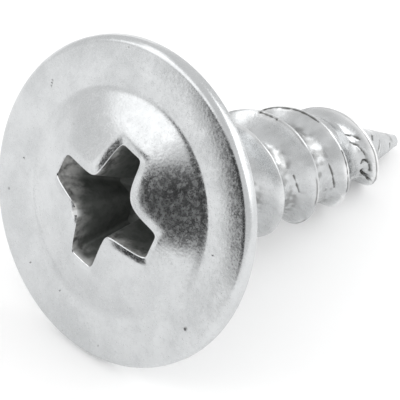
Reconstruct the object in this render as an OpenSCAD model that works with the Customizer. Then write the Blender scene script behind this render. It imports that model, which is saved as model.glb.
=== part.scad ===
// Zinc plated drywall screw with a wide washer-like head, a cross recess and a coarse
// right-hand thread of two ridges on a sharp point. Sizes are in millimetres.
// The screw is drawn upright on its own axis: the flat underside of the head is at
// height 0, the head is above it and the point below. It is then laid down as it comes
// to rest, on the rim of the head and the thread, with the point toward +X.

/* [Screw] */
// Length from under the head to the tip
length = 13; // [11:0.5:16]
// Diameter over the thread
thread_d = 4.2; // [3.8:0.1:4.6]
// Diameter of the core between the ridges
core_d = 2.8; // [2.6:0.05:3]
// Distance from one ridge to the next
ridge_gap = 1.8; // [1.6:0.05:2.1]
// Ridges wound side by side
starts = 2; // [1:1:2]
// Turn of the first ridge from the ground line, clockwise seen from the head
thread_turn = 111; // [0:1:359]

/* [Point] */
// Length of the cone that the core ends in
point_len = 4.1; // [3.4:0.1:4.8]
// Diameter of the blunt end of the tip
tip_d = 0.4; // [0.2:0.05:0.5]
// Distance from the tip over which the ridges get lower
taper_len = 6.5; // [5:0.1:7.5]
// Distance from the tip to the last full ridge
last_ridge_at = 1.7; // [1.4:0.1:2.2]
// Diameter over that last ridge
last_ridge_d = 2.68; // [2.4:0.02:3]
// Distance from the tip at which the first ridge ends
first_end = 2.15; // [1.8:0.05:2.6]
// Distance from the tip at which the second ridge ends
second_end = 1.15; // [0.8:0.05:1.6]
// Length over which a ridge fades at either end
ridge_fade = 1.2; // [0.8:0.1:1.6]

/* [Head] */
// Diameter of the head
head_d = 10.8; // [9.6:0.1:12]
// Thickness of the flange at its rim
rim_h = 0.5; // [0.4:0.05:0.7]
// Rounding of the upper edge of the rim
rim_round = 0.2; // [0.1:0.05:0.3]
// Rounding of the lower edge of the rim
under_round = 0.08; // [0.04:0.02:0.1]
// Slope of the top of the flange in degrees
flange_slope = 5; // [3:1:12]
// Diameter of the dome where it leaves the flange
dome_d = 7.4; // [6.8:0.1:8]
// Height of the head over its underside
head_h = 1.6; // [1.5:0.05:2]
// Radius of the hollow between the dome and the flange
dome_hollow = 0.8; // [0.4:0.1:1.2]
// Diameter of the neck under the head
neck_d = 3.2; // [3.1:0.05:3.4]
// Radius of the flare between the neck and the head
neck_flare = 0.55; // [0.5:0.05:0.7]

/* [Recess] */
// Width across two opposite wings at the mouth
recess_w = 4.35; // [4.1:0.05:4.6]
// Width across two opposite wings at the foot of their end walls
recess_foot_w = 2.35; // [2.1:0.05:2.6]
// Thickness of each wing
wing_t = 1; // [0.8:0.05:1.15]
// Width of the hollow in the middle at the mouth
middle_w = 2; // [1.7:0.05:2.2]
// Turn of the recess from the first ridge, clockwise seen from the head
recess_turn = 79; // [0:1:89]

/* [Hidden] */

head_r = head_d / 2;
core_r = core_d / 2;
crest_r = thread_d / 2;
neck_r = neck_d / 2;
tip_r = tip_d / 2;
dome_base_r = dome_d / 2;
lead = ridge_gap * starts;

// The neck ends in a short cone that runs into the core
neck_end = 0.15;
neck_cone = 0.5;

// The ball that the dome is part of
flange_h = rim_h + (head_r - dome_base_r) * tan(flange_slope);
dome_rise = head_h - flange_h;
dome_r = (pow(dome_base_r, 2) + pow(dome_rise, 2)) / (2 * dome_rise);
dome_mid = head_h - dome_r;

// The hollow ring between the dome and the flange: its middle lies above the flange
// at its own radius, and outside the ball by the same
slope_lift = dome_hollow / cos(flange_slope);
function flange_at(r) = rim_h + (head_r - r) * tan(flange_slope);
function ball_gap(r) = norm([r, flange_at(r) + slope_lift - dome_mid]) - dome_r - dome_hollow;
function ring_mid(low, high, n) =
    n == 0 ? (low + high) / 2 :
    ball_gap((low + high) / 2) < 0 ? ring_mid((low + high) / 2, high, n - 1)
                                   : ring_mid(low, (low + high) / 2, n - 1);
hollow_r = ring_mid(dome_base_r - 1, head_r + 1, 30);
hollow_h = flange_at(hollow_r) + slope_lift;
dome_edge = acos(hollow_r / (dome_r + dome_hollow));
rim_top = rim_h - rim_round * (1 / cos(flange_slope) - tan(flange_slope));

// Recess: its end walls lean in from the mouth, the hollow in its middle leans less,
// and its floor is shallow
wall_lean = 26.5;
floor_lean = 20;
wall_h = (recess_w - recess_foot_w) / 2 / tan(wall_lean);
mouth_h = dome_mid + sqrt(pow(dome_r, 2) - pow(recess_w / 2, 2));
foot_h = mouth_h - wall_h;
floor_h = foot_h - recess_foot_w / 2 * tan(floor_lean);
middle_lean = 8;
clear = 1;

// One ridge in section: distance from its middle and height, both as shares of the
// gap between ridges and of the ridge's full height
ridge_form = [[-0.40, 0], [-0.24, 0.16], [-0.07, 0.93], [0, 1], [0.07, 0.93], [0.24, 0.16], [0.40, 0]];
form_n = len(ridge_form);
crest_share = 0.9;
steps = 60;
ridge_start = 0.9;
sink = 0.3;
tip_round = 0.08;
body_end = length - tip_round;
snap = 0.03;

function smooth(x) = let (t = max(0, min(1, x))) t * t * (3 - 2 * t);
function core_at(d) = lookup(d, [[length - point_len, core_r], [body_end, tip_r]]);
function crest_at(d) = lookup(d, [
    [length - taper_len, crest_r], [length - last_ridge_at, last_ridge_d / 2]]);
function ridge_end(s) = length - (s == 0 ? first_end : second_end);
function fade(d, s) = smooth((d - ridge_start) / ridge_fade) * smooth((ridge_end(s) - d) / ridge_fade);
function around(r, angle, d) = [r * cos(angle), -r * sin(angle), -d];

// The thread's surface is a net. Row j follows the helix, column i is one direction
// around the axis, and ridge by ridge the rows belong to each start in turn. A turn
// further on, a row carries on as the one that is turn_rows later.
turn_rows = form_n * starts;
rows = form_n * (ceil(length / ridge_gap) + 2 * starts + 1);
function depth(j, i) =
    (floor(j / form_n) + ridge_form[j % form_n][0]) * ridge_gap + lead * (i / steps - 1);
function radius(j, i) =
    let (d = depth(j, i), core = core_at(d))
    core + max(0, crest_at(d) - core) * fade(d, floor(j / form_n) % starts) * ridge_form[j % form_n][1];

// Points of the net, then the ring inside the head, the ring at the tip and the two
// points that close them. Rows that run past an end share that end's ring.
top_ring = rows * steps;
tip_ring = top_ring + steps;
top_point = tip_ring + steps;
tip_point = top_point + 1;
thread_points = concat(
    [for (j = [0 : rows - 1]) for (i = [0 : steps - 1]) around(radius(j, i), 360 * i / steps, depth(j, i))],
    [for (i = [0 : steps - 1]) around(core_r, 360 * i / steps, -sink)],
    [for (i = [0 : steps - 1]) around(tip_r, 360 * i / steps, body_end)],
    [[0, 0, sink], [0, 0, -length]]);
function knot(j, i) =
    i == steps ? knot(j + turn_rows, 0) :
    depth(j, i) < snap - sink ? top_ring + i :
    depth(j, i) > body_end - snap ? tip_ring + i : j * steps + i;
function differ(t) = t[0] != t[1] && t[1] != t[2] && t[0] != t[2];
net_faces = [
    for (j = [0 : rows - turn_rows - 2])
        for (i = [0 : steps - 1])
            let (a = knot(j, i), b = knot(j, i + 1), c = knot(j + 1, i + 1), e = knot(j + 1, i))
            for (t = [[a, e, c], [a, c, b]])
                if (differ(t)) t];
end_faces = [
    for (i = [0 : steps - 1])
        let (k = (i + 1) % steps)
        for (t = [[top_point, top_ring + i, top_ring + k], [tip_point, tip_ring + k, tip_ring + i]]) t];

// How far the screw tips forward as it lies: the line from the lower edge of the rim
// to whichever point of the thread or tip meets the ground first
function tip_over(r, d) =
    let (a = head_r - under_round - r, b = d + under_round)
    atan2(a, b) + asin(under_round / norm([a, b]));
rest_tilt = min(concat([tip_over(tip_r, body_end), tip_over(0, length)], [
    for (j = [0 : rows - 1])
        if (ridge_form[j % form_n][1] > crest_share)
            for (i = [0 : steps - 1])
                let (d = depth(j, i), r = radius(j, i) * cos(thread_turn + 360 * i / steps))
                if (d > ridge_start && d < body_end && r > 0) tip_over(r, d)]));
rest_lift = (head_r - under_round) * cos(rest_tilt) - under_round * sin(rest_tilt) + under_round;

// The lying screw is centred between the back of the rim and the tip
back_reach = rim_top * cos(rest_tilt) + (head_r - rim_round) * sin(rest_tilt) + rim_round;
tip_reach = max(length * cos(rest_tilt), body_end * cos(rest_tilt) + tip_r * sin(rest_tilt));
rest_shift = (back_reach - tip_reach) / 2;

// Points of an arc, from one angle to another
function arc(x, y, r, from, to, n) =
    [for (k = [0 : n]) let (a = from + (to - from) * k / n) [x + r * cos(a), y + r * sin(a)]];

module head_and_neck() {
    neck_low = -ridge_start - sink;
    rotate_extrude($fn = 96)
        polygon(concat(
            arc(0, dome_mid, dome_r, 90, dome_edge, 10),
            arc(hollow_r, hollow_h, dome_hollow, 180 + dome_edge, 270 - flange_slope, 5),
            arc(head_r - rim_round, rim_top, rim_round, 90 - flange_slope, 0, 4),
            arc(head_r - under_round, under_round, under_round, 0, -90, 3),
            arc(neck_r + neck_flare, -neck_flare, neck_flare, 90, 180, 4),
            [[neck_r, neck_low], [core_r - neck_end, neck_low - neck_cone], [0, neck_low - neck_cone]]));
}

module thread_and_point() {
    polyhedron(points = thread_points, faces = concat(net_faces, end_faces), convexity = 10);
}

// One pair of opposite wings, as a solid to take away
module wings() {
    mouth = recess_w / 2 + clear * tan(wall_lean);
    foot = recess_foot_w / 2;
    rotate([90, 0, 0])
        linear_extrude(wing_t, center = true)
            polygon([[-mouth, mouth_h + clear], [mouth, mouth_h + clear], [foot, foot_h],
                     [0, floor_h], [-foot, foot_h]]);
}

module recess() {
    middle_r = middle_w / 2;
    for (turn = [0, 90])
        rotate([0, 0, turn]) wings();
    translate([0, 0, foot_h])
        cylinder(h = wall_h + clear, r1 = middle_r - wall_h * tan(middle_lean),
                 r2 = middle_r + clear * tan(middle_lean), $fn = 48);
}

module screw() {
    color([0.80, 0.82, 0.84])
        translate([rest_shift, 0, rest_lift])
            rotate([0, rest_tilt - 90, 0])
                rotate([0, 0, 180 - thread_turn])
                    difference() {
                        union() {
                            head_and_neck();
                            thread_and_point();
                        }
                        rotate([0, 0, -recess_turn]) recess();
                    }
}

screw();
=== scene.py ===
# Zinc plated drywall screw that lies on the rim of its head and on its thread.
# It is modelled upright in millimetres, head up, with the underside of the head at height 0.
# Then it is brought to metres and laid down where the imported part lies.
import bpy
from math import acos, atan2, cos, degrees, floor, pi, radians, sin, sqrt, tan
from mathutils import Matrix, Quaternion, Vector, noise


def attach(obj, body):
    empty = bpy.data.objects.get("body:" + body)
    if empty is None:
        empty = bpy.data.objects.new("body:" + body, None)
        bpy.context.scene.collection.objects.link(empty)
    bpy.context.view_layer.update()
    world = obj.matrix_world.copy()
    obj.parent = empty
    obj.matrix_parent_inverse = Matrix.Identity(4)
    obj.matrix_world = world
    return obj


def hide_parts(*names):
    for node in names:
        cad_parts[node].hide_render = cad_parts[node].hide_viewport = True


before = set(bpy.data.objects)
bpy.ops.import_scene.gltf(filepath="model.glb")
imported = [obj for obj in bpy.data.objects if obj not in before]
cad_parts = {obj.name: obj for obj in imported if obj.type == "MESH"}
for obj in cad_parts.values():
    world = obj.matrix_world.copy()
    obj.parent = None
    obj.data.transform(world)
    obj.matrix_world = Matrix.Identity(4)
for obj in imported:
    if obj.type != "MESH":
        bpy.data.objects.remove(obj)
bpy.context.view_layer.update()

mm = 0.001    # in metres
hair = 0.001  # mm, to catch what lies on a line
weld = 0.002  # mm, points closer than this become one

rest = {
    "underHead": (-4.8635, 0, 5.0073),  # middle of the head's underside, in mm
    "tilt": 21.280,                     # axis from the ground, in degrees
    "turn": 69,                         # first ridge around the axis
}


def deselectAll():
    if bpy.context.object and bpy.context.object.mode == 'EDIT':
        bpy.ops.object.mode_set(mode='OBJECT')
    bpy.ops.object.select_all(action='DESELECT')


def activate(obj):
    deselectAll()
    obj.select_set(True)
    bpy.context.view_layer.objects.active = obj


def editMode(obj, kind='VERT'):
    activate(obj)
    bpy.ops.object.mode_set(mode='EDIT')
    bpy.ops.mesh.select_mode(type=kind)


def objectMode():
    bpy.ops.object.mode_set(mode='OBJECT')


def pick(obj, test, kind='VERT'):
    # selects what passes the test, and leaves the mesh in edit mode
    if bpy.context.object is obj and obj.mode == 'EDIT':
        bpy.ops.mesh.select_mode(type=kind)
    else:
        editMode(obj, kind)
    bpy.ops.mesh.select_all(action='DESELECT')
    objectMode()
    for item in obj.data.polygons if kind == 'FACE' else obj.data.vertices:
        item.select = test(item)
    bpy.ops.object.mode_set(mode='EDIT')


def applyAll(obj):
    activate(obj)
    for mod in list(obj.modifiers):
        bpy.ops.object.modifier_apply(modifier=mod.name)


def combine(obj, other, how):
    mod = obj.modifiers.new(how.lower(), 'BOOLEAN')
    mod.operation = how
    mod.solver = 'EXACT'
    mod.object = other
    applyAll(obj)
    activate(other)
    bpy.ops.object.delete()


def arc(x, z, r, start, end, n):
    angles = [radians(start + (end - start) * k / n) for k in range(n + 1)]
    return [(x + r * cos(a), z + r * sin(a)) for a in angles]


def smooth(x):
    # 0 below 0, 1 above 1, and a soft step between
    t = max(0, min(1, x))
    return t * t * (3 - 2 * t)


def turnGap(a, b):
    # degrees between two directions
    return abs((a - b + 180) % 360 - 180)


def blendAlong(d, stops):
    # straight lines between (distance, value) stops, level beyond them
    if d <= stops[0][0]:
        return stops[0][1]
    for (d0, v0), (d1, v1) in zip(stops, stops[1:]):
        if d <= d1:
            return v0 + (v1 - v0) * (d - d0) / (d1 - d0)
    return stops[-1][1]


def drawChain(name, points):
    # a first point, then one extrusion for each next one
    deselectAll()
    bpy.ops.mesh.primitive_plane_add(size=1, location=(points[0][0], 0, points[0][1]))
    obj = bpy.context.object
    obj.name = name
    bpy.ops.object.transform_apply(location=True, rotation=True, scale=True)
    editMode(obj)
    bpy.ops.mesh.select_all(action='SELECT')
    bpy.ops.mesh.merge(type='CENTER')
    for (x0, z0), (x1, z1) in zip(points, points[1:]):
        bpy.ops.mesh.extrude_region_move(TRANSFORM_OT_translate={"value": (x1 - x0, 0, z1 - z0)})
    objectMode()
    return obj


head = {
    "radius": 5.4,
    "rimHeight": 0.5,
    "rimRound": 0.27,      # rounder than in the part, well inside it
    "underRound": 0.08,
    "flangeSlope": 5,
    "droop": 0.027,        # how much the flange bows, which makes it steeper toward its rim
    "flangeRings": 8,
    "domeRadius": 3.7,     # where the dome leaves the flange
    "height": 1.6,
    "hollow": 0.8,         # radius of the hollow ring at the dome's foot
    "neckRadius": 1.6,
    "neckFlare": 0.55,
    "neckLow": -1.2,
    "coneRadius": 1.25,    # the neck ends in a short cone inside the core
    "coneHeight": 0.5,
    "sides": 384,
    "innerRing": 2.75,     # inside this the rings follow the recess
}


def headProfile(h):
    slope = radians(h["flangeSlope"])
    flangeTop = h["rimHeight"] + (h["radius"] - h["domeRadius"]) * tan(slope)
    rise = h["height"] - flangeTop
    ball = (h["domeRadius"] ** 2 + rise ** 2) / (2 * rise)
    middle = h["height"] - ball
    # the hollow ring touches both the ball of the dome and the flange
    low, high = h["domeRadius"] - 1, h["radius"] + 1
    for step in range(40):
        r = (low + high) / 2
        z = h["rimHeight"] + (h["radius"] - r) * tan(slope) + h["hollow"] / cos(slope)
        if sqrt(r * r + (z - middle) ** 2) < ball + h["hollow"]:
            low = r
        else:
            high = r
    edge = degrees(acos(r / (ball + h["hollow"])))
    rimTop = h["rimHeight"] - h["rimRound"] * (1 / cos(slope) - tan(slope))
    h["ball"], h["ballMiddle"] = ball, middle
    # the flange bows a little between the dome and its rim
    inner = r - h["hollow"] * sin(slope)
    outer = h["radius"] - h["rimRound"] * (1 - sin(slope))
    rings = h["flangeRings"]
    flange = []
    for k in range(1, rings):
        x = inner + (outer - inner) * k / rings
        bow = h["droop"] * k * (rings - k) / (2 * rings)
        flange.append((x, h["rimHeight"] + (h["radius"] - x) * tan(slope) + bow))
    foot = h["neckLow"] - h["coneHeight"]
    return (
        arc(0, middle, ball, degrees(acos(h["innerRing"] / ball)), edge, 9)
        + arc(r, z, h["hollow"], 180 + edge, 270 - h["flangeSlope"], 8)
        + flange
        + arc(h["radius"] - h["rimRound"], rimTop, h["rimRound"], 90 - h["flangeSlope"], 0, 9)
        + arc(h["radius"] - h["underRound"], h["underRound"], h["underRound"], 0, -90, 4)
        + arc(h["neckRadius"] + h["neckFlare"], -h["neckFlare"], h["neckFlare"], 90, 180, 8)
        + [(h["neckRadius"], h["neckLow"]), (h["coneRadius"], foot), (0, foot)])


def makeHead(h):
    obj = drawChain("head", headProfile(h))
    editMode(obj)
    bpy.ops.mesh.select_all(action='SELECT')
    bpy.ops.mesh.spin(steps=h["sides"], angle=2 * pi, center=(0, 0, 0), axis=(0, 0, 1))
    bpy.ops.mesh.select_all(action='SELECT')
    bpy.ops.mesh.remove_doubles(threshold=weld)
    bpy.ops.mesh.normals_make_consistent(inside=False)
    objectMode()
    return obj


recess = {
    "turn": -79,          # degrees from the first ridge
    "reach": 2.175,       # from the axis to the end of a wing at the mouth
    "footReach": 1.175,   # the same at the foot of the end walls
    # the metal between two wings: half width of the wing at its end and at its root, and how
    # pointed its nose is
    "lobes": [(0.47, 0.70, 5.0), (0.44, 0.54, 1.7), (0.50, 0.66, 6.0), (0.46, 0.70, 2.0)],
    "footShare": 0.55,    # the wings' width at the foot
    "corner": 14,         # how sharp the wings' outer corners are
    "foot": -0.72,
    "floor": -1.15,
    "lip": 0.07,          # the tight rounding of its edge
    "soft": 0.34,         # how far the dome sinks toward that edge, and by how much
    "sunk": 0.045,
    "crushed": (56, 22, 0.10),  # a nose pressed wide: degrees around, half width, how much
    "outerRings": 9,
    "softRings": (0.8, 0.6, 0.4, 0.2, 0),
    # rings over the rounding: how far out and how deep, as shares of it
    "lipRings": ((0.72, 0.05), (0.45, 0.16), (0.13, 0.45), (0, 1)),
    "wallRings": 10,
    "floorRings": (0.7, 0.4, 0.15),
    "widest": 2.6,        # nothing of it lies further out than this
    "widestBelow": 1.55,  # or than this, lower than the head's underside
    "slack": 0.02,
    "finishFrom": 1.3,    # roundings below the dome where the darker finish inside it starts, painted shade
}


def mouthAt(c, angle, wider, foot):
    # distance from the axis to the recess's edge, with angle in the wings' own turn;
    # foot goes from 0 at the mouth to 1 at the foot of the walls
    quarter = int(floor(angle / (pi / 2))) % 4
    a = angle % (pi / 2)
    end, root, nose = c["lobes"][quarter]
    reach = c["reach"] + (c["footReach"] - c["reach"]) * foot + wider
    k = 1 + (c["footShare"] - 1) * foot
    end, root = end * k + wider, root * k + wider
    flare = (root - end) / reach
    sideA = root / (sin(a) + flare * cos(a))
    sideB = root / (cos(a) + flare * sin(a))
    side = (sideA ** nose + sideB ** nose) ** (1 / nose)
    tip = reach / max(cos(a), sin(a))
    return (side ** -c["corner"] + tip ** -c["corner"]) ** (-1 / c["corner"])


def cutRecess(obj, c, h):
    # ring after ring is drawn in from the dome's inner edge, down the walls, over the floor
    inner = h["innerRing"]

    def domeAt(r):
        return h["ballMiddle"] + sqrt(h["ball"] ** 2 - r * r)

    def lipAt(angle):
        place, half, more = c["crushed"]
        return c["lip"] + more * smooth(1 - turnGap(degrees(angle) + c["turn"], place) / half)

    def placeRing(level):
        bpy.ops.mesh.extrude_edges_move()
        objectMode()
        for v in obj.data.vertices:
            if v.select:
                angle = atan2(v.co.y, v.co.x)
                r, z = level((angle - radians(c["turn"])) % (2 * pi))
                v.co = (r * cos(angle), r * sin(angle), z)
        bpy.ops.object.mode_set(mode='EDIT')

    pick(obj, lambda v: v.co.z > h["rimHeight"] and v.co.to_2d().length < inner + hair)
    bpy.ops.mesh.select_mode(type='EDGE')
    for k in range(c["outerRings"]):
        share = (k + 1) / c["outerRings"]

        def onDome(angle):
            r = inner + (mouthAt(c, angle, c["soft"], 0) - inner) * share
            return r, domeAt(r)
        placeRing(onDome)
    edge = [(k, 0, (1 - k) ** 2, 0) for k in c["softRings"]]
    edge += [(0, wide, 1, deep) for wide, deep in c["lipRings"]]
    for outer, wide, sink, deep in edge:
        def onEdge(angle):
            lip = lipAt(angle)
            wider = lip + (c["soft"] - lip) * outer if not deep else lip * wide
            r = mouthAt(c, angle, wider, 0)
            return r, domeAt(r) - c["sunk"] * sink - lip * deep
        placeRing(onEdge)
    for k in range(c["wallRings"]):
        share = (k + 1) / c["wallRings"]

        def onWall(angle):
            top = domeAt(mouthAt(c, angle, 0, 0)) - c["sunk"] - lipAt(angle)
            return mouthAt(c, angle, 0, share), top + (c["foot"] - top) * share
        placeRing(onWall)
    for share in c["floorRings"]:
        def onFloor(angle):
            z = c["floor"] + (c["foot"] - c["floor"]) * share
            return mouthAt(c, angle, 0, 1) * share, z
        placeRing(onFloor)
    bpy.ops.mesh.extrude_edges_move()
    bpy.ops.mesh.merge(type='CENTER')
    bpy.ops.mesh.select_all(action='SELECT')
    bpy.ops.mesh.normals_make_consistent(inside=False)
    objectMode()


thread = {
    "length": 13,
    "top": -1.25,            # where it joins the neck, under the floor of the recess
    "gap": 1.8,              # from one ridge to the next
    "starts": 2,
    "core": 1.4,
    "crest": 2.1,
    "pointLength": 4.1,
    "tipRadius": 0.2,
    "taperLength": 6.5,
    "lastRidge": (1.7, 1.34),  # from the tip, and its radius
    "ends": (2.15, 1.15),      # where each ridge ends, from the tip
    "from": 0.9,
    "fade": 1.2,
    # one ridge in section: distance from its middle in gaps, and share of its height;
    # the flanks are straight and the crest is narrow, with a fine seam beside its middle
    "form": [
        (-0.5, 0), (-0.46, 0.002), (-0.42, 0.01), (-0.39, 0.025), (-0.36, 0.045), (-0.33, 0.08),
        (-0.30, 0.12), (-0.27, 0.175), (-0.24, 0.24), (-0.17, 0.45), (-0.10, 0.70),
        (-0.075, 0.80), (-0.058, 0.87), (-0.047, 0.90), (-0.039, 0.87), (-0.031, 0.93),
        (-0.018, 0.98), (0, 0.985), (0.018, 0.98), (0.035, 0.945), (0.052, 0.885),
        (0.10, 0.70), (0.17, 0.45), (0.24, 0.24), (0.27, 0.175), (0.30, 0.12), (0.33, 0.08),
        (0.36, 0.045), (0.39, 0.025), (0.42, 0.01), (0.46, 0.002)],
    "steps": 210,
    "tipRound": 0.08,          # height of the rounded end of the tip
    "tipRings": [(0.022, 0.74), (0.033, 0.42)],  # down in mm, and what is left of the radius
}


def coreAt(t, d):
    return blendAlong(d, [(t["length"] - t["pointLength"], t["core"]),
                          (t["length"] - t["tipRound"], t["tipRadius"])])


def crestAt(t, d):
    return blendAlong(d, [(t["length"] - t["taperLength"], t["crest"]),
                          (t["length"] - t["lastRidge"][0], t["lastRidge"][1])])


def makeThread(t):
    # the section of one full lead, twisted downward around the axis
    lead = t["gap"] * t["starts"]
    section = [(t["core"] + height * (t["crest"] - t["core"]), (start + across) * t["gap"])
               for start in range(t["starts"]) for across, height in t["form"]]
    section.append((section[0][0], section[0][1] + lead))
    obj = drawChain("shank", section)
    turns = int(t["length"] / lead) + 4  # some more than are needed, cut off below
    mod = obj.modifiers.new("twist", 'SCREW')
    mod.axis = 'Z'
    mod.angle = 2 * pi
    mod.screw_offset = lead
    mod.iterations = turns
    mod.steps = mod.render_steps = t["steps"]
    mod.use_merge_vertices = False
    applyAll(obj)
    editMode(obj)
    bpy.ops.mesh.select_all(action='SELECT')
    bpy.ops.mesh.remove_doubles(threshold=weld)
    objectMode()
    # bring it below the head, so that the first ridge's middle starts at the underside
    drop = lead * (turns - 1)
    for v in obj.data.vertices:
        v.co.z -= drop
        d = -v.co.z
        turn = atan2(v.co.y, v.co.x) / (2 * pi)
        ridge = floor((d + turn * lead) / t["gap"] + 0.5) % t["starts"]
        share = (sqrt(v.co.x ** 2 + v.co.y ** 2) - t["core"]) / (t["crest"] - t["core"])
        fade = smooth((d - t["from"]) / t["fade"])
        fade *= smooth((t["length"] - t["ends"][ridge] - d) / t["fade"])
        core = coreAt(t, d)
        r = core + max(0, crestAt(t, d) - core) * fade * share
        v.co.x, v.co.y = r * cos(turn * 2 * pi), r * sin(turn * 2 * pi)
    tipTop = t["tipRound"] - t["length"]
    editMode(obj)
    for z, up in ((t["top"], 1), (tipTop, -1)):
        bpy.ops.mesh.select_all(action='SELECT')
        bpy.ops.mesh.bisect(plane_co=(0, 0, z), plane_no=(0, 0, up), use_fill=True,
                            clear_outer=True)
    bpy.ops.mesh.select_all(action='SELECT')
    bpy.ops.mesh.normals_make_consistent(inside=False)
    # round the tip: the flat left by the cut is drawn down twice, narrower each time
    pick(obj, lambda f: f.normal.z < -0.9 and f.center.z < tipTop + 0.02, 'FACE')
    for down, scale in t["tipRings"]:
        bpy.ops.mesh.extrude_region_move(TRANSFORM_OT_translate={"value": (0, 0, -down)})
        bpy.ops.transform.resize(value=(scale, scale, 1), center_override=(0, 0, 0))
    objectMode()
    return obj


cracks = {
    # how deep and wide in mm, then points as degrees around and mm below the head
    "upperFold": (0.030, 0.045, [(263, 9.41), (259, 9.59), (254, 9.76), (250, 9.84)]),
    "longFold": (0.035, 0.045, [(250, 9.50), (244, 9.75), (235, 9.91), (228, 10.03),
                                (219, 10.13)]),
    "curl": (0.060, 0.050, [(213, 9.98), (218, 10.01), (219.5, 10.08), (216, 10.17),
                            (209, 10.29), (200, 10.38)]),
    "pinch": (0.100, 0.075, [(199, 10.12), (191, 10.30), (186, 10.46), (179, 10.64)]),
    "rootLine": (0.020, 0.040, [(228, 7.99), (221, 8.08), (204, 8.29), (193, 8.44)]),
    "topLine": (0.040, 0.050, [(302, 5.93), (293, 6.02), (285, 6.10)]),
    "crestFold": (0.022, 0.034, [(335, 7.38), (318, 7.55), (300, 7.73), (285, 7.88),
                                 (276, 7.97)]),
    "crestSeam": (0.020, 0.034, [(240, 8.36), (225, 8.52), (205, 8.72), (190, 8.87)]),
    "rootNick": (0.015, 0.040, [(223, 6.23), (209, 6.41), (200, 6.55)]),
    "tipNick": (0.030, 0.045, [(268, 11.33), (253, 11.15)]),
    "tipFold": (0.045, 0.055, [(249, 11.64), (230, 11.53), (213, 11.44)]),
    "tipDent": (0.030, 0.045, [(229, 12.33), (206, 12.35)]),
}
rolling = {
    "waves": [(1.6, 0.014), (3.4, 0.0035)],  # unevenness: waves to a mm, and height in mm
    "smoothTip": 0.6,  # mm over which that fades out at the tip
    "ragged": 6,       # waves to a mm in the cracks' edges
    "beside": 0.05,    # mm beside a crack where the faces are finer too
    "far": 0.2,        # mm above or below a crack, where it surely changes nothing
    "cuts": 2,
    "axis": 0.1,       # points nearer to the axis stay in place
}


def gapTo(path, x, y, z):
    # how far a point is, along the surface, from a crack's line; far off it is just 1
    far, depths = rolling["far"], [d for around, d in path]
    if not min(depths) - far < -z < max(depths) + far:
        return 1
    around, r = degrees(atan2(y, x)) % 360, sqrt(x * x + y * y)
    gap = 1
    for (a0, d0), (a1, d1) in zip(path, path[1:]):
        ax, bx, px = radians(a0) * r, radians(a1) * r, radians(around) * r
        ux, uy = bx - ax, d1 - d0
        k = max(0, min(1, ((px - ax) * ux + (-z - d0) * uy) / (ux * ux + uy * uy)))
        gap = min(gap, sqrt((px - ax - k * ux) ** 2 + (-z - d0 - k * uy) ** 2))
    return gap


def nearCrack(x, y, z):
    # deepest crack at a point: its depth there, and 0 to 1 for how much painted shade it gets
    deepest, dark = 0, 0
    ragged = noise.noise(Vector((x, y, z)) * rolling["ragged"])
    for depth, width, path in cracks.values():
        share = smooth(1 + ragged * 0.5 - gapTo(path, x, y, z) / width)
        share *= smooth(1.5 + ragged * 1.6)
        deepest, dark = max(deepest, depth * share), max(dark, share)
    return deepest, dark


def roughen(obj, m, t):
    # finer faces along the cracks, then the cracks and the unevenness of a rolled surface
    def byCrack(face):
        return any(gapTo(path, *face.center) < width + m["beside"]
                   for depth, width, path in cracks.values())
    pick(obj, byCrack, 'FACE')
    bpy.ops.mesh.subdivide(number_cuts=m["cuts"])
    objectMode()
    for v in obj.data.vertices:
        x, y, z = v.co
        r = sqrt(x * x + y * y)
        if z > t["top"] - 0.2 or z < 0.02 - t["length"] or r < m["axis"]:
            continue  # inside the head, or at the very end of the tip
        lift = sum(height * noise.noise(v.co * waves) for waves, height in m["waves"])
        lift *= min(1, r) * smooth((t["length"] + z) / m["smoothTip"])
        k = 1 + (lift - nearCrack(x, y, z)[0]) / r
        v.co.x, v.co.y = x * k, y * k


marks = [
    # pits and scratches on the flange: degrees around, mm from the axis, size
    (168.5, 4.67, 0.07), (348.9, 4.60, 0.035), (349.8, 4.54, 0.035), (350.8, 4.48, 0.03),
    (28, 4.15, 0.04), (43, 4.75, 0.045), (74, 4.53, 0.035), (93, 4.07, 0.03),
    (120, 4.9, 0.03), (205, 4.2, 0.035),
]
pits = {
    "depth": 0.02,
    "beside": 0.12,  # mm beside a pit where the faces are finer too
    "cuts": 4,
    "above": 0.4,    # they are on the flange's upper side, which is higher than this
    "outside": 3,    # and further out than this
}


def markGap(mark, x, y):
    around, r, size = mark
    return sqrt((x - r * cos(radians(around))) ** 2 + (y - r * sin(radians(around))) ** 2)


def nearMark(x, y):
    # 1 in a mark and 0 outside
    return max(smooth(1.3 - markGap(mark, x, y) / mark[2]) for mark in marks)


def pitFlange(obj, p):
    def byMark(face):
        x, y, z = face.center
        return z > p["above"] and any(markGap(m, x, y) < m[2] + p["beside"] for m in marks)
    pick(obj, byMark, 'FACE')
    bpy.ops.mesh.subdivide(number_cuts=p["cuts"])
    objectMode()
    for v in obj.data.vertices:
        if v.co.z > p["above"] and v.co.to_2d().length > p["outside"]:
            v.co.z -= p["depth"] * nearMark(v.co.x, v.co.y)


def layDown(obj):
    # from upright millimetres to metres on the ground
    under = Vector(rest["underHead"]) * mm
    obj.matrix_world = (Matrix.Translation(under)
                        @ Matrix.Rotation(radians(rest["tilt"] - 90), 4, 'Y')
                        @ Matrix.Rotation(radians(rest["turn"]), 4, 'Z')
                        @ Matrix.Scale(mm, 4))
    activate(obj)
    bpy.ops.object.transform_apply(location=True, rotation=True, scale=True)


screw = makeHead(head)
cutRecess(screw, recess, head)
pitFlange(screw, pits)
print("head turned, recess cut:", len(screw.data.polygons), "faces")
shank = makeThread(thread)
roughen(shank, rolling, thread)
print("thread twisted:", len(shank.data.polygons), "faces")
combine(screw, shank, 'UNION')
screw.name = "drywallScrew"
print("joined:", len(screw.data.polygons), "faces")

# darkening and painted highlights for the finish: painted shade in the recess, seams and cracks,
# painted highlights on the crests and the recess's edge, besides a grey film, darker root
# patches and marks
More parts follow.
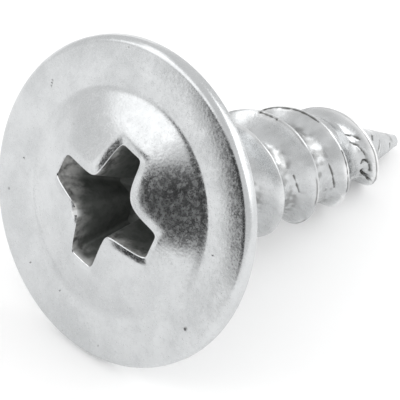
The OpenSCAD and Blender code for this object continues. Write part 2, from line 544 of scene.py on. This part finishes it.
paintedLightAndDirt = {
    "recess": 0.88,    # painted shade deep in the recess
    "mark": 0.6,       # in the pits and scratches of the flange
    "film": 0.16,      # of the darker patches in the roots
    "root": 0.5,       # of the painted shade in the fine seam along the crests
    # painted shade in the cracks
    "crack": 0.95,
    "seam": 0.8,       # of the fine seam along the crests
    "lighterWing": 12,   # the wing whose end gets less painted shade, degrees around
    "brightLips": [(60, 8), (101, 12)],  # painted highlights on stretches of the recess's edge, half width
    "lipHighlight": 0.85,
    "lipDepth": (0.05, 0.26),  # mm below the dome between which the highlight is painted
    "from": 1.3,       # mm under the head from which the thread's darkening and painted highlights show
    "bareTip": 0.4,   # mm at the tip without darkening or painted highlight
    "rootAt": 0.2,     # gaps from a ridge's middle to where the root's darker patches start
    "seamAt": -0.039,  # place of the seam across the ridge, in gaps
    "seamWidth": 0.008,
    "seamFrom": 5.6,   # mm under the head where the seam starts to show
    "seamGrows": 1.4,  # mm further it shows fully
    "seamEnd": 2.2,    # mm from the tip it ends
    "crestAt": -0.03,  # middle and half width of the painted highlight on the crest, in gaps
    "crestWidth": 0.075,
    "crestFrom": 7,    # mm under the head where the crests' painted highlight gets fuller
    "crestGrows": 1.5,
    "crestLeast": 0.35,  # share of it above that
    "crestEnd": 1.5,   # mm from the tip it ends
}


def recessDepth(x, y, z, c, h):
    # how far below the dome a point of the recess is; nothing for the outside and the neck
    r = sqrt(x * x + y * y)
    outside = r > c["widest"] or (z < c["slack"] and r > c["widestBelow"])
    if outside or z < c["floor"] - c["slack"]:
        return 0
    return h["ballMiddle"] + sqrt(h["ball"] ** 2 - r * r) - z


def recessShadeAndHighlight(place, deep, w):
    # how much painted shade and painted highlight a point of the recess gets
    around, r = atan2(place.y, place.x) / (2 * pi) * 360, place.to_2d().length
    light = smooth((40 - turnGap(around, w["lighterWing"])) / 20)
    light *= smooth((r - 1.1) / 0.5) * smooth((1.05 - deep) / 0.4)
    darkening = w["recess"] * smooth((deep - 0.12) / 0.75 + 0.2 + 0.5 * noise.noise(place * 3.5))
    darkening *= (1 - 0.8 * light) * smooth((deep - 0.1) / 0.1)
    highlight, (low, high) = 0, w["lipDepth"]
    for middle, half in w["brightLips"]:
        away = turnGap(around, middle)
        if away < half:
            highlight = w["lipHighlight"] * smooth((half - away) / 4)
            highlight *= smooth(min(deep - low, high - deep) / 0.03)
    return darkening, highlight


def threadDarkeningAndHighlight(place, w, t):
    # the same for a point of the thread: grey film and darker root patches, painted shade in the
    # seam and cracks, painted highlight on the crests
    d, turn = -place.z, atan2(place.y, place.x) / (2 * pi)
    across = ((d + turn * t["gap"] * t["starts"]) / t["gap"] + 0.5) % 1 - 0.5
    height = crestAt(t, d) - coreAt(t, d)
    along = noise.noise(place * 0.9 + Vector((3, 0, 0)))
    seam = smooth(1.3 - abs(across - w["seamAt"]) / w["seamWidth"])
    seam *= smooth((along + 0.25) * 3) * smooth((d - w["seamFrom"]) / w["seamGrows"])
    seam *= smooth((height - 0.3) / 0.25) if d < t["length"] - w["seamEnd"] else 0
    patches = noise.noise(place * 1.1) + 0.7 * noise.noise(place * 5.5)
    root = smooth((abs(across) - w["rootAt"]) / 0.12) * smooth((patches - 0.02) * 2.4)
    film = smooth(0.5 + noise.noise(place * 2.3) + 0.6 * noise.noise(place * 6))
    crack = nearCrack(*place)[1]
    darkening = w["film"] * film + w["seam"] * seam + w["root"] * root + w["crack"] * crack
    highlight = smooth((w["crestWidth"] - abs(across - w["crestAt"])) / 0.02)
    least = w["crestLeast"]
    highlight *= least + (1 - least) * smooth((d - w["crestFrom"]) / w["crestGrows"])
    highlight *= smooth(0.55 + 1.6 * along)  # in stretches along the ridge
    highlight *= smooth(height / 0.3) * (d < t["length"] - w["crestEnd"])
    return min(1, darkening), highlight


def paintLightAndDirt(obj, w, t, c, h):
    # how much darkening (painted shade with some dirt) and painted highlight each point gets,
    # from 0 to 1, kept with the mesh for its finish
    darkening = obj.data.attributes.new("paintedLightAndDirt", 'FLOAT', 'POINT')
    highlight = obj.data.attributes.new("paintedHighlight", 'FLOAT', 'POINT')
    for v in obj.data.vertices:
        deep = recessDepth(*v.co, c, h)
        values = 0, 0
        if deep > 0:
            values = recessShadeAndHighlight(v.co, deep, w)
        elif v.co.z > pits["above"]:
            values = w["mark"] * nearMark(v.co.x, v.co.y), 0
        elif w["from"] <= -v.co.z <= t["length"] - w["bareTip"]:
            values = threadDarkeningAndHighlight(v.co, w, t)
        darkening.data[v.index].value, highlight.data[v.index].value = values


paintLightAndDirt(screw, paintedLightAndDirt, thread, recess, head)
screw.data.materials.clear()
for face in screw.data.polygons:
    if recessDepth(*face.center, recess, head) > recess["lip"] * recess["finishFrom"]:
        face.material_index = 1  # the darker finish inside the recess, painted shade
activate(screw)
bpy.ops.object.shade_smooth_by_angle(angle=radians(32))  # steeper edges stay sharp
layDown(screw)
# the darkening, painted shade and painted highlights are on its points now
print("worn, polished and laid down")

zinc = {
    "metal": 1,
    "bright": (0.625, 0.637, 0.645, 1),
    "dull": (0.56, 0.572, 0.58, 1),
    # painted highlight colour for the crests and the recess's edge
    "highlightColour": (0.96, 0.965, 0.97, 1),
    "speck": (0.28, 0.28, 0.27, 1),
    # painted shade in the recess, seams and cracks, also the film, root patches and marks
    "shadeAndDirt": (0.12, 0.12, 0.115, 1),
    "roughness": (0.16, 0.24),
    "dotRoughness": 0.52,
    # patterns: waves to a metre, detail, and share of the finer waves
    "clouds": (900, 6, 0.62),
    "specks": (2600, 5, 0.7),
    "dots": (5200, 5, 0.92),   # rough dots in the plating
    "grain": (12000, 0, 0.5),  # fine unevenness, with its height in metres
    "grainHeight": 0.0000016,
    # from where to where in each pattern its finish blends in
    "dullTo": (0.38, 0.6),
    "roughTo": (0.35, 0.65),
    "speckTo": (0.255, 0.3),
    "dotTo": (0.45, 0.84),
}
# the recess's own copy, much darker and less metallic: painted shade inside it
shadedRecessZinc = dict(zinc, metal=0.45, bright=(0.62, 0.62, 0.61, 1), dull=(0.10, 0.10, 0.098, 1),
                  shadeAndDirt=(0.108, 0.117, 0.109, 1), roughness=(0.30, 0.48), clouds=(2400, 6, 0.62))


def grey(value):
    return value, value, value, 1


def addNoise(mat, place, pattern):
    node = mat.node_tree.nodes.new("ShaderNodeTexNoise")
    for name, value in zip(("Scale", "Detail", "Roughness"), pattern):
        node.inputs[name].default_value = value
    mat.node_tree.links.new(place, node.inputs["Vector"])
    return node.outputs["Fac"]


def addRamp(mat, source, places, colours):
    node = mat.node_tree.nodes.new("ShaderNodeValToRGB")
    for stop, place, colour in zip(node.color_ramp.elements, places, colours):
        stop.position, stop.color = place, colour
    mat.node_tree.links.new(source, node.inputs["Fac"])
    return node.outputs["Color"]


def addMix(mat, factor, first, second):
    node = mat.node_tree.nodes.new("ShaderNodeMixRGB")
    mat.node_tree.links.new(factor, node.inputs["Fac"])
    mat.node_tree.links.new(first, node.inputs["Color1"])
    node.inputs["Color2"].default_value = second
    return node.outputs["Color"]


def addPainted(mat, name):
    # a value that was painted on the mesh's points
    node = mat.node_tree.nodes.new("ShaderNodeAttribute")
    node.attribute_name = name
    return node.outputs["Fac"]


def makeZinc(name, z):
    mat = bpy.data.materials.new(name)
    mat.use_nodes = True
    nodes, links = mat.node_tree.nodes, mat.node_tree.links
    shader = nodes["Principled BSDF"]
    shader.inputs["Metallic"].default_value = z["metal"]
    place = nodes.new("ShaderNodeTexCoord").outputs["Object"]
    clouds = addNoise(mat, place, z["clouds"])
    # colour: dull clouds, dark specks, painted highlights on the crests and the recess's edge,
    # then painted shade (with the film, root patches and marks) over all
    tone = addRamp(mat, clouds, z["dullTo"], (z["dull"], z["bright"]))
    speckMask = addRamp(mat, addNoise(mat, place, z["specks"]), z["speckTo"], (grey(1), grey(0)))
    spotted = addMix(mat, speckMask, tone, z["speck"])
    highlightColour = addMix(mat, addPainted(mat, "paintedHighlight"), spotted, z["highlightColour"])
    darkened = addMix(mat, addPainted(mat, "paintedLightAndDirt"), highlightColour, z["shadeAndDirt"])
    links.new(darkened, shader.inputs["Base Color"])
    # gloss: the dull clouds are rougher, and the dots more so
    low, high = z["roughness"]
    rough = addRamp(mat, clouds, z["roughTo"], (grey(high), grey(low)))
    dotMask = addRamp(mat, addNoise(mat, place, z["dots"]), z["dotTo"], (grey(0), grey(1)))
    links.new(addMix(mat, dotMask, rough, grey(z["dotRoughness"])), shader.inputs["Roughness"])
    bump = nodes.new("ShaderNodeBump")
    bump.inputs["Strength"].default_value = 1
    bump.inputs["Distance"].default_value = z["grainHeight"]
    links.new(addNoise(mat, place, z["grain"]), bump.inputs["Height"])
    links.new(bump.outputs["Normal"], shader.inputs["Normal"])
    return mat


screw.data.materials.append(makeZinc("zincPlating", zinc))
screw.data.materials.append(makeZinc("shadedZincInRecess", shadedRecessZinc))
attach(screw, "root")
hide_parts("screw")

view = {
    "middle": (-214.59206606, -213.28285155, 259.77088302),  # camera's place in mm
    "right": (0.707983, -0.706229, 0.000236),
    "down": (-0.457797, -0.459188, -0.761294),
    "away": (0.537756, 0.538876, -0.648407),
    "lens": 1105.7,
    "sensor": 36,
    "clip": (0.01, 10),  # metres
}


def makeCamera(v):
    data = bpy.data.cameras.new("photoView")
    data.sensor_width = v["sensor"]
    data.lens = v["lens"]
    data.clip_start, data.clip_end = v["clip"]
    obj = bpy.data.objects.new("photoView", data)
    bpy.context.scene.collection.objects.link(obj)
    right, up, back = Vector(v["right"]), -Vector(v["down"]), -Vector(v["away"])
    turn = Matrix((right, up, back)).transposed()
    obj.matrix_world = Matrix.Translation(Vector(v["middle"]) * mm) @ turn.to_4x4()
    bpy.context.scene.camera = obj


floorLook = {"size": 2, "colour": (0.9, 0.9, 0.9, 1), "rough": 0.9, "highlight": 0.1, "glow": 0.15}


def makeFloor(look):
    deselectAll()
    bpy.ops.mesh.primitive_plane_add(size=look["size"], location=(0, 0, 0))
    obj = bpy.context.object
    obj.name = "floor"
    mat = bpy.data.materials.new("paleFloor")
    mat.use_nodes = True
    sockets = mat.node_tree.nodes["Principled BSDF"].inputs
    sockets["Base Color"].default_value = look["colour"]
    sockets["Roughness"].default_value = look["rough"]
    sockets["Specular IOR Level"].default_value = look["highlight"]
    sockets["Emission Color"].default_value = (1, 1, 1, 1)
    sockets["Emission Strength"].default_value = look["glow"]
    obj.data.materials.append(mat)


panels = [
    # name, azimuth and elevation of its middle, width and height in degrees, brightness
    ("leftGlow", 140, 40, 44, 32, 0.85),
    ("lowLeftGlow", 149, 6, 18, 20, 0.4),
    ("topGlow", 104, 52, 36, 16, 0.7),
    ("sideGlow", -42, 34, 60, 42, 1.35),
    ("lowGlow", -46, 10, 30, 20, 0.7),
]
panelAway = 0.5     # metres from the screw
studioGlow = 0.88   # brightness of the white all round
card = {
    "azimuth": 182, "elevation": 15, "width": 47, "height": 40, "roll": 27,  # degrees
    "away": 0.095,  # metres
    "colour": (0.015, 0.015, 0.015, 1),
}


def wayTo(azimuth, elevation):
    az, el = radians(azimuth), radians(elevation)
    return Vector((cos(el) * cos(az), cos(el) * sin(az), sin(el)))


def spanAt(away, angle):
    # how wide a thing is that takes up this angle at that distance
    return 2 * away * tan(radians(angle / 2))


def addPanel(name, azimuth, elevation, width, height, glow):
    data = bpy.data.lights.new(name, 'AREA')
    data.shape = 'RECTANGLE'
    data.size, data.size_y = spanAt(panelAway, width), spanAt(panelAway, height)
    data.energy = glow * pi * data.size * data.size_y
    obj = bpy.data.objects.new(name, data)
    bpy.context.scene.collection.objects.link(obj)
    way = wayTo(azimuth, elevation)
    obj.location = way * panelAway
    obj.rotation_euler = (-way).to_track_quat('-Z', 'Y').to_euler()


def addCard(c):
    # a dark card beside the camera, seen only as a reflection in the metal
    deselectAll()
    way = wayTo(c["azimuth"], c["elevation"])
    bpy.ops.mesh.primitive_plane_add(size=1, location=way * c["away"])
    obj = bpy.context.object
    obj.name = "darkCard"
    obj.scale = (spanAt(c["away"], c["width"]), spanAt(c["away"], c["height"]), 1)
    roll = Quaternion((0, 0, 1), radians(c["roll"]))
    obj.rotation_euler = ((-way).to_track_quat('-Z', 'Y') @ roll).to_euler()
    mat = bpy.data.materials.new("darkCloth")
    mat.use_nodes = True
    sockets = mat.node_tree.nodes["Principled BSDF"].inputs
    sockets["Base Color"].default_value = c["colour"]
    sockets["Roughness"].default_value = 1
    obj.data.materials.append(mat)
    obj.visible_camera = obj.visible_diffuse = obj.visible_shadow = False


makeCamera(view)
makeFloor(floorLook)
addCard(card)
for panel in panels:
    addPanel(*panel)
world = bpy.data.worlds.new("studio")
world.use_nodes = True
world.node_tree.nodes["Background"].inputs["Color"].default_value = (1, 1, 1, 1)
world.node_tree.nodes["Background"].inputs["Strength"].default_value = studioGlow
bpy.context.scene.world = world
bpy.context.scene.view_settings.view_transform = 'Standard'
print("lights and camera set")
